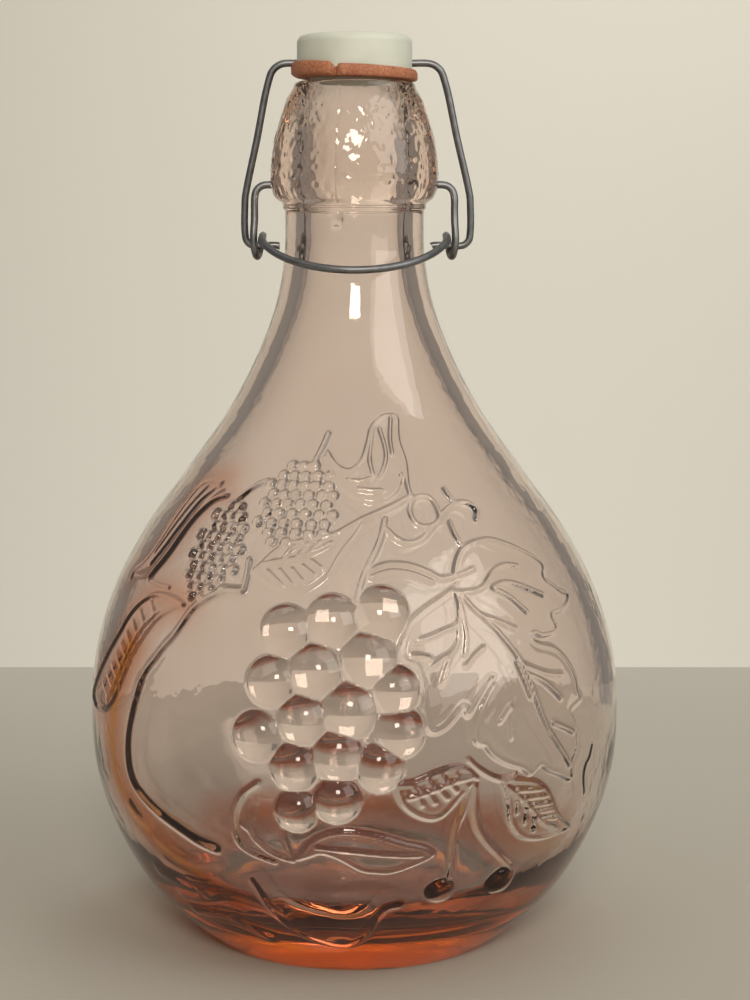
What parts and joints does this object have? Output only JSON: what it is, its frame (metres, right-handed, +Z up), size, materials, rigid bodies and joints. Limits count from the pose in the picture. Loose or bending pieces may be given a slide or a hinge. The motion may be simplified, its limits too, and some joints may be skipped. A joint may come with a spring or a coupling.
{
  "type": "swing-top bottle",
  "caption": "Large drop-shaped pressed-glass bottle with fruit in relief and a wire swing-top closure on a thick moulded finish.",
  "frame": {"origin": "on the bottle's axis, in the plane of the foot ring it stands on", "axes": "+Z up along the bottle's axis, -Y out of the front that carries the fruit and the lever's bow, +X to the viewer's right"},
  "size_m": [0.1816, 0.1854, 0.3042],
  "materials": {
    "pink_glass": "gloss",
    "galvanised_wire": "dull",
    "white_plastic": "satin",
    "orange_rubber": "matt"
  },
  "bodies": {
    "glass": {"bottle": "pink_glass"},
    "lever": {"lever_wire": "galvanised_wire"},
    "bail": {"bail_wire": "galvanised_wire"},
    "stopper": {"stopper_cap": "white_plastic", "gasket": "orange_rubber"}
  },
  "joints": [
    {"name": "lever_pivot", "type": "hinge", "parent": "glass", "child": "lever", "pos_m": [0, 0, 0.2552], "axis": [-1, 0, 0], "range_deg": [0, 155]},
    {"name": "bail_swing", "type": "hinge", "parent": "lever", "child": "bail", "pos_m": [0, 0.0016, 0.2348], "axis": [-1, 0, 0], "range_deg": [-98, 0]},
    {"name": "stopper_tilt", "type": "hinge", "parent": "bail", "child": "stopper", "pos_m": [0, 0, 0.2952], "axis": [-1, 0, 0], "range_deg": [-58, 0]}
  ],
  "couplings": [
    {"joint": "bail_swing", "follows": "lever_pivot", "ratio": -0.63},
    {"joint": "stopper_tilt", "follows": "lever_pivot", "ratio": -0.37}
  ]
}
